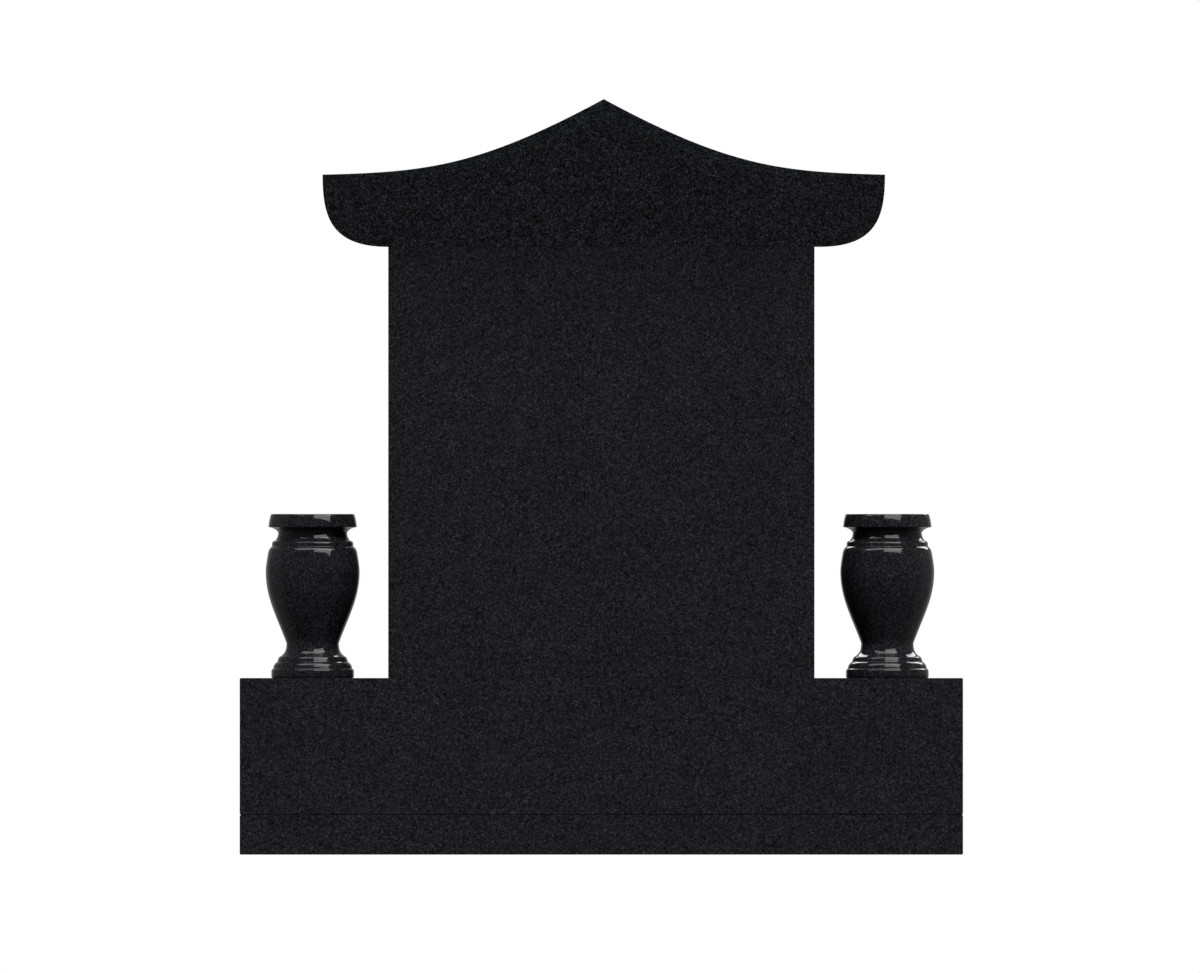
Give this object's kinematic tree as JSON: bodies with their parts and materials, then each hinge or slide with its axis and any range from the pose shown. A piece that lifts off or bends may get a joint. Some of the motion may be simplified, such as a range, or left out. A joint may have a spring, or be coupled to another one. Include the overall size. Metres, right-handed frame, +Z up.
{
  "type": "headstone",
  "caption": "Polished black granite headstone: blank upright tablet under a gabled cap with rounded eaves, on a base course and plinth, flanked by turned flower vases.",
  "frame": {"origin": "middle of the plinth's underside", "axes": "+Z up, +X to the right seen from the front, -Y out of the blank front face"},
  "size_m": [1.12, 0.304, 1.17],
  "materials": {
    "base_granite": "polished black granite with a fine grey grain",
    "tablet_granite": "polished black granite with a fine grey grain",
    "cap_granite": "polished black granite with a fine grey grain",
    "vase_granite": "turned and mirror-polished black granite"
  },
  "bodies": {
    "root": {"plinth": "base_granite", "base_course": "base_granite", "tablet": "tablet_granite", "gabled_cap": "cap_granite", "vase_left": "vase_granite", "vase_right": "vase_granite"}
  },
  "joints": []
}
